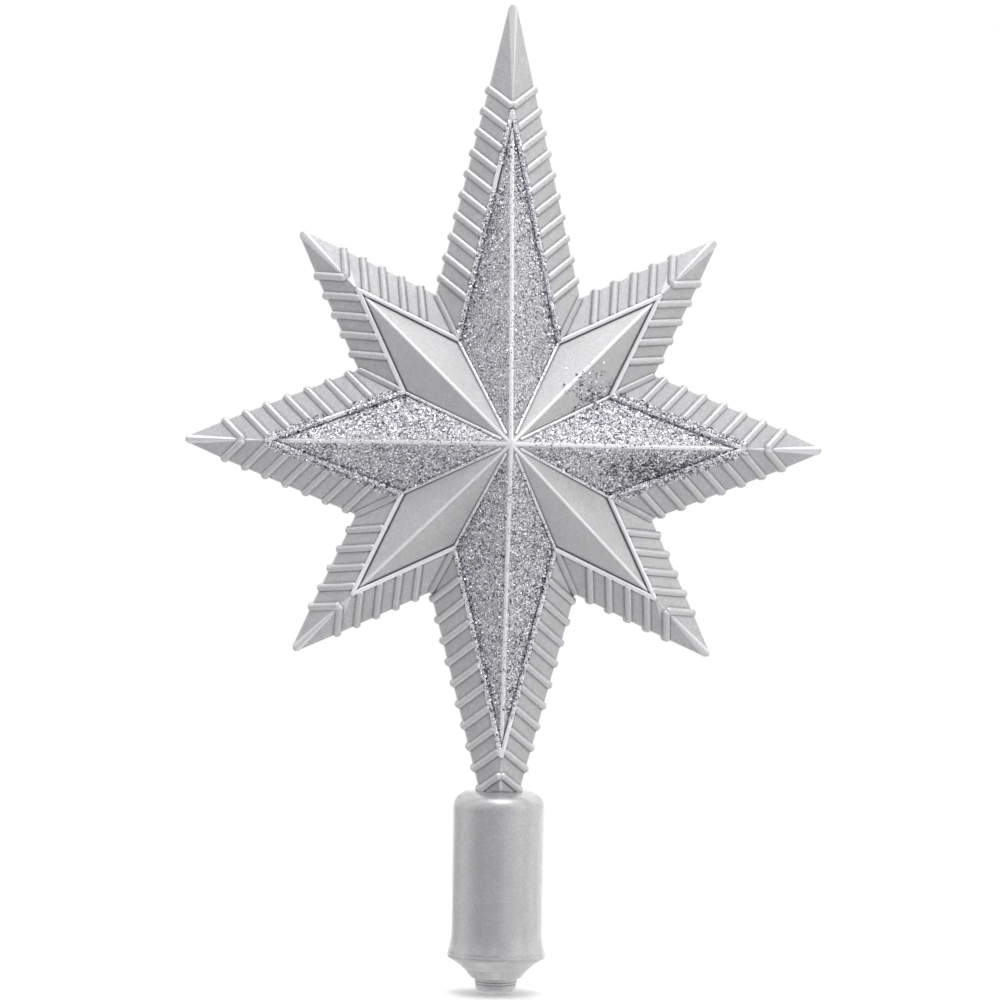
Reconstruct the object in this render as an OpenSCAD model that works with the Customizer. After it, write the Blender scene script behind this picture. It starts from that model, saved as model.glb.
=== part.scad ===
// Two-sided moulded tree-topper star with a round socket under its bottom ray.
// Front of the star faces -Y, +X is to its right and +Z is up.
// The origin is the centre of the socket's mouth.

/* [Star] */
// Height of the star's centre above the socket's mouth
centre_height = 159; // [154:0.1:164]
// Length of the top ray from the centre
top_ray = 127.6; // [120:0.1:140]
// Length of each side ray from the centre
side_ray = 92.4; // [85:0.1:100]
// Length of the bottom ray from the centre, with the part inside the socket
bottom_ray = 118.9; // [114:0.1:124]
// Length of each diagonal ray from the centre
diagonal_ray = 85.2; // [80:0.1:90]
// Height of the star's peak above the parting plane, on each half
peak_height = 22; // [18:0.5:26]
// Height of the raised outline of the faceted star above the parting plane
bead_height = 6; // [5:0.1:7]
// Height of the star's edge above the parting plane, on each half
edge_height = 2.2; // [1.8:0.1:2.6]
// Wall thickness, measured straight back from the surface
wall = 2.2; // [1.8:0.1:2.4]

/* [Valleys between the rays] */
// Angle from an upright or level ray to the valley beside it
valley_angle = 26; // [24:0.5:28]
// Distance from the centre to a valley of the faceted star
inner_valley = 33.3; // [31:0.1:35]
// Distance from the centre to a valley of the outer edge
outer_valley = 47.7; // [46:0.1:50]

/* [Ribs of the border] */
// Width of a rib at its foot
rib_width = 2.5; // [2:0.1:2.8]
// Height of a rib above the border
rib_height = 0.8; // [0.4:0.1:1]
// How far the round end of a rib stands past the edge
rib_overhang = 0.9; // [0.4:0.1:1.2]

/* [Glitter] */
// Thickness of a glitter coat
glitter_thickness = 0.35; // [0.2:0.05:0.5]

/* [Socket] */
// Outer radius of the socket
socket_radius = 13.2; // [13:0.1:14]
// Outer radius of the socket at its flared skirt
skirt_radius = 14.3; // [14.2:0.1:15.5]
// Height of the socket's top above its mouth
socket_top = 58.6; // [57:0.1:60]
// Radius of the round shoulder
shoulder_radius = 4.9; // [4:0.1:5]
// Wall thickness of the socket
socket_wall = 1.9; // [1.5:0.1:2.2]
// Radius of the hole for the tree's leader
leader_radius = 3.3; // [2.8:0.1:3.4]
// Clearance between the nose's spigot and the socket, on the radius
spigot_gap = 0.1; // [0.05:0.05:0.2]

/* [Pins and bosses] */
// Distance from the centre to each pin, along a diagonal ray
pin_place = 30; // [28:0.5:32]
// Radius of a locating pin
pin_radius = 1; // [0.8:0.05:1.1]
// Length of a pin past the parting plane
pin_length = 5.5; // [4:0.5:7]
// Radius of a boss
boss_radius = 1.8; // [1.6:0.05:1.9]

/* [Hidden] */
$fn = 96;
silver = [0.78, 0.78, 0.79];
pale_silver = [0.84, 0.83, 0.88];

// Each kind of ray: length, end of the facets, where the last pair of ribs meets the ridge,
// ribs on each side, their pitch along the ray, their angle to the ray, and the valley's angle.
TOP = [top_ray, 96, 97.5, 10, 6.1, 50, valley_angle];
SIDE = [side_ray, 69, 75.7, 7, 5.86, 45, valley_angle];
BOTTOM = [bottom_ray, 89.9, 95.2, 10, 6.1, 50, valley_angle];
DIAGONAL = [diagonal_ray, 61.8, 66.7, 5, 5.8, 40, 45 - valley_angle];

// The eight rays, each with its bearing clockwise from straight up
RAYS = [[0, TOP], [45, DIAGONAL], [90, SIDE], [135, DIAGONAL],
        [180, BOTTOM], [225, DIAGONAL], [270, SIDE], [315, DIAGONAL]];

tip_radius = 1.45;      // roundness of a ray's end
tip_ridge = 2.6;        // height of the ridge at a ray's end
rib_top = 0.22;         // half-width of a rib's top, as a share of its width
rib_start = 0.7;        // where a rib reaches its height, from the facets' outline
flange = 1.8;           // width of the flat rim that the halves meet on
nib_wall = 12;          // solid length at the end of each ray
long_ray = 100;         // rays longer than this taper to long_taper past their tip, the rest to short_taper
long_taper = 3;
short_taper = 2.6;
valley_overhang = 0.5;  // overhang of the rib in a valley, as a share of rib_overhang
valley_rim = 1.35;      // width of the flat rim in a valley, as a share of flange
hair = 0.0005;          // shares closer than this are the same
grain = 10000;          // points are rounded to 1 / grain mm, so neighbours meet exactly

// ---- vectors -------------------------------------------------------------------------------

function dot2(a, b) = a[0] * b[0] + a[1] * b[1];
function flat(p) = [p[0], p[1]];
function unit(v) = v / norm(v);
function blend(a, b, t) = a + (b - a) * t;
function joined(lists) = [for (l = lists) for (item = l) item];

// Where the line through p along d crosses the line from a to b, as a share of a to b
function crossing(p, d, a, b) =
    let (n = [d[1], -d[0]]) dot2(p - a, n) / dot2(b - a, n);

// ---- one side of one ray -------------------------------------------------------------------
// Places are [along the ray, away from its ridge, height].

function facet_end(k) = [k[1], 0, bead_height];
function inner_v(k) = [inner_valley * cos(k[6]), inner_valley * sin(k[6]), bead_height];
function outer_v(k) = [outer_valley * cos(k[6]), outer_valley * sin(k[6]), edge_height];
function rib_way(k) = [cos(k[5]), sin(k[5])];
function ridge_end(k) = [k[0] - tip_radius, 0, tip_ridge];

// Slope of the outer edge, which runs from the outer valley to the round end of the ray
function edge_end(k) = [k[0] + (k[0] > long_ray ? long_taper : short_taper), 0];
function edge_point(k, t) = let (p = blend(flat(outer_v(k)), edge_end(k), t)) [p[0], p[1], edge_height];

// Share along the outer edge where the last rib leaves the ray
function last_share(k) = crossing([k[2], 0], rib_way(k), flat(outer_v(k)), edge_end(k));
function pitch_share(k) = k[4] / (edge_end(k)[0] - outer_v(k)[0]);
// How far a step of 1 mm across a rib moves along the outer edge
function across_share(k) =
    1 / abs(dot2(edge_end(k) - flat(outer_v(k)), [sin(k[5]), -cos(k[5])]));

// Stations along the border, from the valley to the end of the ribs:
// [share along the outer edge, height of the rib there]
function rib_stations(k) = [
    for (i = [k[3] - 1 : -1 : 0])
        let (middle = last_share(k) - i * pitch_share(k))
        for (side = [[-0.5, 0], [-rib_top, 1], [rib_top, 1], [0.5, 0]])
            [middle + side[0] * rib_width * across_share(k), side[1]]
];

// The point of the facets' outline, or of the ridge past it, that a station starts from
function start_point(k, share) =
    let (b = flat(edge_point(k, share)), d = rib_way(k),
         t = crossing(b, d, flat(inner_v(k)), flat(facet_end(k))),
         on_ridge = b[0] - b[1] * d[0] / d[1],
         r = (on_ridge - k[1]) / (ridge_end(k)[0] - k[1]))
    t <= 1 ? blend(inner_v(k), facet_end(k), t)
           : [on_ridge, 0, blend(bead_height, tip_ridge, r)];

// The station that starts at the end of the facets has no rib of its own
function facet_share(k) = crossing(flat(facet_end(k)), rib_way(k), flat(outer_v(k)), edge_end(k));
function rib_at(k, share) = max([for (i = [0 : k[3] - 1])
    abs(share - last_share(k) + i * pitch_share(k)) <= rib_top * rib_width * across_share(k) ? 1 : 0]);
function stations(k) =
    let (s = rib_stations(k), f = facet_share(k))
    concat([for (a = s) if (a[0] < f - hair) a],
           [[f, rib_at(k, f)]],
           [for (a = s) if (a[0] > f + hair) a]);

// Rows of the border: start, foot of the rib's rise, outer edge, parting plane, inner rim
function valley_rows(k) =
    let (a = k[6], g = [cos(a), sin(a)], n = [sin(a), -cos(a)],
         v = inner_v(k), o = outer_v(k), t = facet_end(k), e = edge_end(k), d = rib_way(k))
    [for (step = [[0, 1], [rib_top, 1], [0.5, 0]])
        let (off = step[0] * rib_width,
             p = blend(v, t, off / dot2(flat(t) - flat(v), n)),
             q = edge_point(k, off / dot2(e - flat(o), n)),
             rise = step[1] * rib_height,
             out = step[1] * rib_overhang * valley_overhang,
             way = unit(flat(q) - flat(p)),
             mid = blend(p, q, rib_start / norm(flat(q) - flat(p))),
             rim = off == 0 ? flat(q) - g * flange * valley_rim : flat(q) - d * flange)
        [p, mid + [0, 0, rise],
         [q[0] + way[0] * out, q[1] + way[1] * out, q[2] + rise],
         [q[0] + way[0] * out, q[1] + way[1] * out, 0],
         [rim[0], rim[1], 0]]];

function border_rows(k) =
    [for (s = stations(k))
        let (p = start_point(k, s[0]), q = edge_point(k, s[0]), d = rib_way(k),
             rise = s[1] * rib_height, out = s[1] * rib_overhang,
             mid = blend(p, q, rib_start / norm(flat(q) - flat(p))))
        [p, mid + [0, 0, rise],
         [q[0] + d[0] * out, q[1] + d[1] * out, q[2] + rise],
         [q[0] + d[0] * out, q[1] + d[1] * out, 0],
         [q[0] - d[0] * flange, q[1] - d[1] * flange, 0]]];

// The smooth end of a ray: its edge from the last rib to the round tip, in tip radii back and aside
ROUND_END = [[1.1, 0.9], [0.5, 0.75], [0.1, 0.3]];
function nib_edge(k) = [
    for (a = ROUND_END) [k[0] - tip_radius * a[0], tip_radius * a[1], edge_height]];

ROW = 5; // points in each row
function ray_points(k) =
    let (rows = concat(valley_rows(k), border_rows(k)), nib = nib_edge(k))
    concat(joined(rows), nib, [for (p = nib) [p[0], p[1], 0]],
           [[k[0], 0, edge_height], [k[0], 0, 0], ridge_end(k),
            [0, 0, peak_height], [0, 0, peak_height - wall],
            [inner_v(k)[0], inner_v(k)[1], bead_height - wall],
            [k[1], 0, bead_height - wall],
            [k[0] - nib_wall, 0, 0]]);

// Triangles of one side of a ray, clockwise from outside on its clockwise side
function ray_faces(k) =
    let (n = len(valley_rows(k)) + len(border_rows(k)), e = n * ROW,
         tip = e + 6, tip_low = e + 7, ridge = e + 8, peak = e + 9,
         peak_in = e + 10, valley_in = e + 11, facet_in = e + 12, cavity_end = e + 13,
         start = function (i) i * ROW, foot = function (i) i * ROW + 1,
         edge = function (i) i * ROW + 2, low = function (i) i * ROW + 3,
         rim = function (i) i * ROW + 4,
         last_facet = max([for (i = [0 : n - 1]) ray_points(k)[start(i)][1] > 0.001 ? i : 0]) + 1,
         edges = concat([edge(n - 1)], [for (i = [0 : 2]) e + i], [tip]),
         lows = concat([low(n - 1)], [for (i = [3 : 5]) e + i], [tip_low]))
    concat(
        // facet
        [for (i = [0 : last_facet - 1]) [peak, start(i + 1), start(i)]],
        // border, with its ribs, and the outer edge down to the parting plane
        joined([for (i = [0 : n - 2]) [
            [start(i), start(i + 1), foot(i + 1)], [start(i), foot(i + 1), foot(i)],
            [foot(i), foot(i + 1), edge(i + 1)], [foot(i), edge(i + 1), edge(i)],
            [edge(i), edge(i + 1), low(i + 1)], [edge(i), low(i + 1), low(i)],
            [low(i), low(i + 1), rim(i + 1)], [low(i), rim(i + 1), rim(i)],
            [rim(i), rim(i + 1), facet_in]]]),
        // smooth end of the ray
        [[start(n - 1), ridge, foot(n - 1)], [foot(n - 1), ridge, edge(n - 1)]],
        joined([for (i = [0 : 3]) [
            [ridge, edges[i + 1], edges[i]],
            [edges[i], edges[i + 1], lows[i + 1]], [edges[i], lows[i + 1], lows[i]],
            [lows[i], lows[i + 1], cavity_end]]]),
        [[lows[0], cavity_end, rim(n - 1)]],
        // inside
        [[rim(n - 1), cavity_end, facet_in], [rim(0), facet_in, valley_in],
         [valley_in, facet_in, peak_in]]);

function placed(p, bearing, side) =
    [for (c = [p[0] * sin(bearing) + side * p[1] * cos(bearing),
               p[0] * cos(bearing) - side * p[1] * sin(bearing), p[2]]) round(c * grain) / grain];

// ---- the star ------------------------------------------------------------------------------

// One half of the hollow star, lying on the parting plane with its peak up
module star_half() {
    sides = [for (r = RAYS) for (side = [1, -1]) [r[0], r[1], side]];
    counts = [for (s = sides) len(ray_points(s[1]))];
    starts = [for (i = 0, total = 0; i < len(sides); total = total + counts[i], i = i + 1) total];
    points = joined([for (s = sides) [for (p = ray_points(s[1])) placed(p, s[0], s[2])]]);
    faces = joined([for (i = [0 : len(sides) - 1])
        [for (f = ray_faces(sides[i][1]))
            sides[i][2] > 0 ? [for (j = f) j + starts[i]]
                            : [for (j = [2 : -1 : 0]) f[j] + starts[i]]]]);
    polyhedron(points = points, faces = faces, convexity = 10);
}

module at_pins() {
    for (bearing = [45 : 90 : 315])
        translate([pin_place * sin(bearing), pin_place * cos(bearing), 0]) children();
}

pin_gap = 0.05;         // clearance round a pin, on the radius
pin_hole = 1.5;         // how much deeper a pin's hole is than the pin, with its open end
pin_root = 1;           // length of a pin inside its boss
boss_cover = 0.4;       // depth of a boss's top below the middle of the wall
boss_top = peak_height - wall / 2 - (peak_height - bead_height) * pin_place / DIAGONAL[1] - boss_cover;

module upright(front = true) {
    translate([0, 0, centre_height])
        mirror([0, front ? 0 : 1, 0])
            rotate([90, 0, 0]) children();
}

module front_shell() {
    color(silver) upright() {
        star_half();
        at_pins() difference() {
            cylinder(r = boss_radius, h = boss_top, $fn = 32);
            translate([0, 0, -1])
                cylinder(r = pin_radius + pin_gap, h = pin_length + pin_hole, $fn = 32);
        }
    }
}

module rear_shell() {
    color(silver) upright(false) {
        star_half();
        at_pins() {
            cylinder(r = boss_radius, h = boss_top, $fn = 32);
            translate([0, 0, -pin_length])
                cylinder(r = pin_radius, h = pin_length + pin_root, $fn = 32);
        }
    }
}

// ---- glitter coats -------------------------------------------------------------------------

coat_start = 5;         // distance along the ridge from the peak to the coat
coat_end = 2.5;         // distance along the ridge from the coat to the facets' end
coat_inset = 0.04;      // how far the coat stays from the valley, as a share of the facet

// A thin coat over the two facets of one ray, clear of the raised outline and of the peak
module glitter(bearing, k, front) {
    peak = [0, 0, peak_height];
    apex = blend(peak, facet_end(k), coat_start / k[1]);
    end = blend(peak, facet_end(k), 1 - coat_end / k[1]);
    valley = coat_inset * peak + (1 - 2 * coat_inset) * inner_v(k) + coat_inset * facet_end(k);
    low = [placed(apex, bearing, 1), placed(valley, bearing, 1),
           placed(end, bearing, 1), placed(valley, bearing, -1)];
    lift = [0, 0, glitter_thickness];
    color(pale_silver) upright(front)
        polyhedron(points = concat(low, [for (p = low) p + lift]),
                   faces = concat([[0, 1, 2], [0, 2, 3], [4, 6, 5], [4, 7, 6]],
                                  joined([for (i = [0 : 3]) let (j = (i + 1) % 4)
                                      [[i, i + 4, j + 4], [i, j + 4, j]]])));
}

module glitter_front_top() { glitter(0, TOP, true); }
module glitter_front_right() { glitter(90, SIDE, true); }
module glitter_front_bottom() { glitter(180, BOTTOM, true); }
module glitter_front_left() { glitter(270, SIDE, true); }
module glitter_rear_top() { glitter(0, TOP, false); }
module glitter_rear_right() { glitter(90, SIDE, false); }
module glitter_rear_bottom() { glitter(180, BOTTOM, false); }
module glitter_rear_left() { glitter(270, SIDE, false); }

// ---- socket --------------------------------------------------------------------------------

mouth_top = 4.7;          // where the nose meets the foot of the sleeve
spigot_radius = 5.4;      // radius of the nose's spigot
spigot_top = 8;           // top of the spigot
spigot_chamfer = 0.5;     // chamfer round the spigot's top
nose_radius = 5.9;        // radius of the nose above its round lower edge
nose_round = 2.4;         // roundness of the nose's lower edge
nose_flare = 0.5;         // how much wider the nose is at its top
foot_radius = 7.4;        // outer radius at the foot of the sleeve
step_height = 7;          // small step round the cone
step_radius = 9.2;
step_depth = 0.35;
cone_height = 9.1;        // where the cone meets the round rim of the skirt
cone_radius = 11.9;
rim_high = 11.3;          // widest part of the skirt
rim_round = 1.4;          // roundness of the skirt's rim
flare_top = 19;           // where the flare begins
flare_base = 12;          // where the flare meets the round rim
cavity_floor = 12.5;      // where the straight wall of the cavity ends
top_wall = 3;             // thickness of the socket's top
slot_flat = 2;            // half the width of the slot's flat sides
slot_gap = 0.05;          // room between the slot and the ray's ridge
slot_depth = 10;          // depth of the slot's cut, more than the top's thickness

function arc(centre, r, from, to, steps) =
    [for (i = [0 : steps]) let (a = from + (to - from) * i / steps) centre + r * [cos(a), sin(a)]];

// Outline of the bottom ray where it passes through the socket's top
module ray_slot() {
    k = BOTTOM;
    u = centre_height - socket_top;
    share = (u - outer_v(k)[0]) / (edge_end(k)[0] - outer_v(k)[0]);
    half_width = edge_point(k, share)[1] + rib_overhang;
    ridge = blend(bead_height, tip_ridge, (u - k[1]) / (ridge_end(k)[0] - k[1])) + slot_gap + rib_height;
    edge = edge_height + rib_height;
    translate([0, 0, socket_top - slot_depth]) linear_extrude(height = slot_depth + 1)
        polygon([[-half_width, edge], [-slot_flat, ridge], [slot_flat, ridge], [half_width, edge],
                 [half_width, -edge], [slot_flat, -ridge], [-slot_flat, -ridge], [-half_width, -edge]]);
}

module socket_sleeve() {
    inside = socket_radius - socket_wall;
    shoulder = socket_top - shoulder_radius;
    inner_arc = shoulder_radius - socket_wall;
    hole = spigot_radius + spigot_gap;
    flare = skirt_radius - socket_radius - 0.1;
    outline = concat(
        [[hole, mouth_top], [foot_radius, mouth_top], [step_radius, step_height],
         [step_radius + step_depth, step_height + step_depth / 2], [cone_radius, cone_height]],
        arc([skirt_radius - rim_round, rim_high], rim_round, -50, 25, 6),
        [for (t = [1 : -0.2 : 0]) [socket_radius + flare * t * t, flare_top - (flare_top - flare_base) * t]],
        arc([socket_radius - shoulder_radius, shoulder], shoulder_radius, 0, 90, 12),
        [[0, socket_top], [0, socket_top - top_wall]],
        arc([inside - inner_arc, socket_top - top_wall - inner_arc], inner_arc, 90, 0, 6),
        [[inside, cavity_floor], [hole, spigot_top]]);
    color(silver) difference() {
        rotate_extrude($fn = 128) polygon(outline);
        ray_slot();
    }
}

module socket_nose() {
    outline = concat(
        [[leader_radius, 0]],
        arc([nose_radius - nose_round, nose_round], nose_round, -90, -8, 8),
        [[nose_radius + nose_flare, mouth_top],
         [spigot_radius, mouth_top], [spigot_radius, spigot_top - spigot_chamfer],
         [spigot_radius - spigot_chamfer, spigot_top], [leader_radius, spigot_top]]);
    color(silver) rotate_extrude($fn = 128) polygon(outline);
}

front_shell();
rear_shell();
socket_sleeve();
socket_nose();
glitter_front_top();
glitter_front_right();
glitter_front_bottom();
glitter_front_left();
glitter_rear_top();
glitter_rear_right();
glitter_rear_bottom();
glitter_rear_left();
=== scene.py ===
"""Looks of a two-sided silver tree-topper star: moulded halves, glitter coats, socket and studio.

Sizes are in metres, in the CAD frame: +Z is up, the front of the star faces -Y, +X is to its right.
"""

import math

import bpy
import numpy as np
from bpy.props import FloatProperty, FloatVectorProperty, IntProperty, PointerProperty
from mathutils import Matrix, Vector, noise
from mathutils.bvhtree import BVHTree


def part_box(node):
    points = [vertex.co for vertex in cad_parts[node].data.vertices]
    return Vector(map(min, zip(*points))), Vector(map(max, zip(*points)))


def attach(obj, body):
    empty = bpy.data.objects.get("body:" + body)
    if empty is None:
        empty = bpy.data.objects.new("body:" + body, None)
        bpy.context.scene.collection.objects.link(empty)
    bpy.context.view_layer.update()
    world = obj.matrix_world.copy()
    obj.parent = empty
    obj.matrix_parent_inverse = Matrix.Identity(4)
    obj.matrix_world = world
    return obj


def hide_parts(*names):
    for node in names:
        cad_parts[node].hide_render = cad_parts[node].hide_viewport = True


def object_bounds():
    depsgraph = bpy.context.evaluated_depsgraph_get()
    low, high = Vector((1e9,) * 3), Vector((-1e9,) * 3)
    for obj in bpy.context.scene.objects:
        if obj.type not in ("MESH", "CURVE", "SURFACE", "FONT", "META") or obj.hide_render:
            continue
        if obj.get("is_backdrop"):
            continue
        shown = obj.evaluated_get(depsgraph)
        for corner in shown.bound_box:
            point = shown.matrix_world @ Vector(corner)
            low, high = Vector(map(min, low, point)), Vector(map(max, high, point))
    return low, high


bl_info = {
    "name": "Tree-topper star",
    "version": (1, 0, 0),
    "blender": (4, 5, 0),
    "location": "View3D > Sidebar > Star",
    "description": "Builds a silver glittered tree-topper star around its CAD frame",
    "category": "Add Mesh",
}

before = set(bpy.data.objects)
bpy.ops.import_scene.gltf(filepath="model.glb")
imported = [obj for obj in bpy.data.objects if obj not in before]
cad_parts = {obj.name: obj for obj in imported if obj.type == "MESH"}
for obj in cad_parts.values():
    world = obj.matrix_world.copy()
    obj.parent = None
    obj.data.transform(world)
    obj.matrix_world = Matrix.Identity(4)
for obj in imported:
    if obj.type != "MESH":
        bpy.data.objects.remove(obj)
CAD_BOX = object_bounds()
MM = 0.001
FRONT, REAR = -1, 1
CLOCKWISE, ANTICLOCKWISE = 1, -1

# ---- measures taken from the frame ---------------------------------------------------------

SHELL_LOW, SHELL_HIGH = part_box("front_shell")
_, SLEEVE_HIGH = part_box("socket_sleeve")
CENTRE = sum(corner.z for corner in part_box("glitter_front_right")) / 2
PEAK = -SHELL_LOW.y


class Ray:
    """One kind of ray: where its facets end and its ribs meet, and the valley beside it.

    The length is in metres, and the other sizes are in millimetres and degrees.
    """

    def __init__(self, length, facet_end, rib_meet, ribs, pitch, rib_angle, valley):
        self.length = length
        self.facet_end = Vector((facet_end, 0)) * MM
        self.rib_meet = Vector((rib_meet, 0)) * MM
        self.ribs = ribs
        self.pitch = pitch * MM
        self.rib_way = Vector((math.cos(math.radians(rib_angle)), math.sin(math.radians(rib_angle))))
        self.valley = Vector((math.cos(math.radians(valley)), math.sin(math.radians(valley))))


VALLEY = 26              # degrees between a long ray and the valley beside it
TOP = Ray(SHELL_HIGH.z - CENTRE, facet_end=96, rib_meet=97.5, ribs=10, pitch=6.1, rib_angle=50,
          valley=VALLEY)
SIDE = Ray(SHELL_HIGH.x, facet_end=69, rib_meet=75.7, ribs=7, pitch=5.86, rib_angle=45,
           valley=VALLEY)
BOTTOM = Ray(CENTRE - SHELL_LOW.z, facet_end=89.9, rib_meet=95.2, ribs=10, pitch=6.1, rib_angle=50,
             valley=VALLEY)
DIAGONAL = Ray(85.2 * MM, facet_end=61.8, rib_meet=66.7, ribs=5, pitch=5.8, rib_angle=40,
               valley=45 - VALLEY)
RAYS = {0: TOP, 45: DIAGONAL, 90: SIDE, 135: DIAGONAL,
        180: BOTTOM, 225: DIAGONAL, 270: SIDE, 315: DIAGONAL}
GLITTERED = {"top": 0, "right": 90, "bottom": 180, "left": 270}


# ---- settings ------------------------------------------------------------------------------


class StarSizes(bpy.types.PropertyGroup):
    bead: FloatProperty(name="Bead height", description="Height of the faceted star's outline",
                        default=6.0 * MM, unit="LENGTH")
    step: FloatProperty(name="Step", description="How far the facets lie below their outline",
                        default=0.6 * MM, unit="LENGTH")
    edge: FloatProperty(name="Edge height", description="Height of the outer edge",
                        default=2.2 * MM, unit="LENGTH")
    tip: FloatProperty(name="Tip height", description="Height of a ray's tip",
                       default=2.5 * MM, unit="LENGTH")
    tip_radius: FloatProperty(name="Tip radius", description="Roundness of a ray's tip",
                              default=1.45 * MM, unit="LENGTH")
    inner_valley: FloatProperty(name="Inner valley", description="Centre to a valley of the facets",
                                default=33.3 * MM, unit="LENGTH")
    outer_valley: FloatProperty(name="Outer valley", description="Centre to a valley of the edge",
                                default=47.7 * MM, unit="LENGTH")
    wall: FloatProperty(name="Wall", description="Wall thickness, straight back from the surface",
                        default=2.2 * MM, unit="LENGTH")
    ridge_round: FloatProperty(name="Ridge rounding", description="Half width of a ridge's rounding",
                               default=0.6 * MM, unit="LENGTH")
    nib_round: FloatProperty(name="Nib rounding", description="Half width of a smooth end's ridge",
                             default=1.0 * MM, unit="LENGTH")
    edge_round: FloatProperty(name="Edge rounding", description="Rounding of the outer edge",
                              default=0.3 * MM, unit="LENGTH")
    rib_radius: FloatProperty(name="Rib radius", description="Radius of a half-round rib",
                              default=1.35 * MM, unit="LENGTH")
    rib_sink: FloatProperty(name="Rib sink", description="Depth of a rib's axis in the border",
                            default=0.42 * MM, unit="LENGTH")
    rib_overhang: FloatProperty(name="Rib overhang", description="How far a rib stands past the edge",
                                default=0.9 * MM, unit="LENGTH")
    bead_radius: FloatProperty(name="Bead radius", description="Radius of the outline's bead",
                               default=0.8 * MM, unit="LENGTH")
    valley_bead: FloatProperty(name="Valley bead radius", description="Radius of a valley's bead",
                               default=0.6 * MM, unit="LENGTH")


class GlitterSizes(bpy.types.PropertyGroup):
    fine: FloatProperty(name="Fine flake", description="Side of a fine flake",
                        default=0.32 * MM, unit="LENGTH")
    coarse: FloatProperty(name="Coarse flake", description="Side of a coarse flake",
                          default=0.5 * MM, unit="LENGTH")
    fine_cover: FloatProperty(name="Fine cover", description="Area of fine flakes for each unit of coat",
                              default=0.9, min=0.1, max=3)
    coarse_cover: FloatProperty(name="Coarse cover", default=0.9, min=0.1, max=3,
                                description="Area of coarse flakes for each unit of coat at its thickest")
    seed: IntProperty(name="Seed", description="Seed of the scatter", default=7)


class SocketSizes(bpy.types.PropertyGroup):
    radius: FloatProperty(name="Radius", description="Outer radius of the sleeve",
                          default=13.2 * MM, unit="LENGTH")
    skirt: FloatProperty(name="Skirt", description="Outer radius of the flared skirt",
                         default=SLEEVE_HIGH.x, unit="LENGTH")
    shoulder: FloatProperty(name="Shoulder", description="Radius of the round shoulder",
                            default=4.9 * MM, unit="LENGTH")
    wall: FloatProperty(name="Wall", description="Wall of the sleeve", default=1.9 * MM, unit="LENGTH")
    leader: FloatProperty(name="Leader hole", description="Radius of the hole for the tree's leader",
                          default=3.3 * MM, unit="LENGTH")


class Finishes(bpy.types.PropertyGroup):
    star: FloatVectorProperty(name="Star silver", description="Satin silver of the star",
                              default=(0.585, 0.585, 0.59), subtype="COLOR", min=0, max=1)
    socket: FloatVectorProperty(name="Socket silver", description="Satin silver of the socket",
                                default=(0.555, 0.555, 0.56), subtype="COLOR", min=0, max=1)
    flake: FloatVectorProperty(name="Flakes", description="Bright side of the glitter",
                               default=(0.82, 0.80, 0.85), subtype="COLOR", min=0, max=1)
    # Painted shade: the colour of flakes that stand for flakes reflecting a dark place
    flake_dark: FloatVectorProperty(name="Dull flakes", description="Dull flakes of the glitter",
                                    default=(0.11, 0.105, 0.125), subtype="COLOR", min=0, max=1)
    floor: FloatVectorProperty(name="Floor", description="Pale floor",
                               default=(0.93, 0.93, 0.93), subtype="COLOR", min=0, max=1)


class StageSettings(bpy.types.PropertyGroup):
    distance: FloatProperty(name="Camera distance", description="Camera to the middle of the star",
                            default=1.0, unit="LENGTH")
    bearing: FloatProperty(name="Camera bearing", description="Turn of the camera round the star",
                           default=math.radians(-4.5), subtype="ANGLE")
    lean: FloatProperty(name="Lean", description="Clockwise lean of the star in the view",
                        default=math.radians(1.0), subtype="ANGLE")
    lens: FloatProperty(name="Lens", description="Focal length in millimetres", default=124.1)


# ---- shaping by hand -----------------------------------------------------------------------


def deselect():
    bpy.ops.object.select_all(action="DESELECT")


def only(obj):
    deselect()
    obj.select_set(True)
    bpy.context.view_layer.objects.active = obj


def settled(name):
    """The active object, under its name and with its place in its mesh."""
    obj = bpy.context.object
    obj.name = obj.data.name = name
    bpy.ops.object.transform_apply(location=True, rotation=True, scale=True)
    return obj


def apply_modifier(obj, kind, **settings):
    only(obj)
    modifier = obj.modifiers.new(kind.title(), kind)
    for key, value in settings.items():
        setattr(modifier, key, value)
    bpy.ops.object.modifier_apply(modifier=modifier.name)


def combine(obj, other, operation, solver="MANIFOLD"):
    """Joins other to obj, or cuts obj with it; other is used up."""
    apply_modifier(obj, "BOOLEAN", object=other, operation=operation, solver=solver)
    bpy.data.objects.remove(other)


def smooth(obj, degrees):
    only(obj)
    bpy.ops.object.shade_smooth_by_angle(angle=math.radians(degrees))


def select_edges(obj, wanted):
    """In edit mode: selects only the edges whose two ends satisfy wanted."""
    bpy.ops.mesh.select_mode(type="EDGE")
    bpy.ops.mesh.select_all(action="DESELECT")
    bpy.ops.object.mode_set(mode="OBJECT")
    points = obj.data.vertices
    for edge in obj.data.edges:
        edge.select = wanted(*(points[i].co for i in edge.vertices))
    bpy.ops.object.mode_set(mode="EDIT")


def close_up(obj):
    """In edit mode: merges what lies together and turns all faces outwards."""
    bpy.ops.mesh.select_all(action="SELECT")
    bpy.ops.mesh.remove_doubles(threshold=0.005 * MM)
    bpy.ops.mesh.normals_make_consistent(inside=False)


# ---- outline of the star -------------------------------------------------------------------

LONG_RAY = 100 * MM      # a ray longer than this is a slender one
LONG_PAST = 3 * MM       # from a slender ray's tip to where its edges would meet
SHORT_PAST = 2.6 * MM    # the same for the other rays


def place(bearing, side, point, height, face=FRONT):
    """Turns (along a ray, away from its ridge) and a height into a place in the frame."""
    b = math.radians(bearing)
    return Vector((point[0] * math.sin(b) + side * point[1] * math.cos(b), face * height,
                   CENTRE + point[0] * math.cos(b) - side * point[1] * math.sin(b)))


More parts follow.
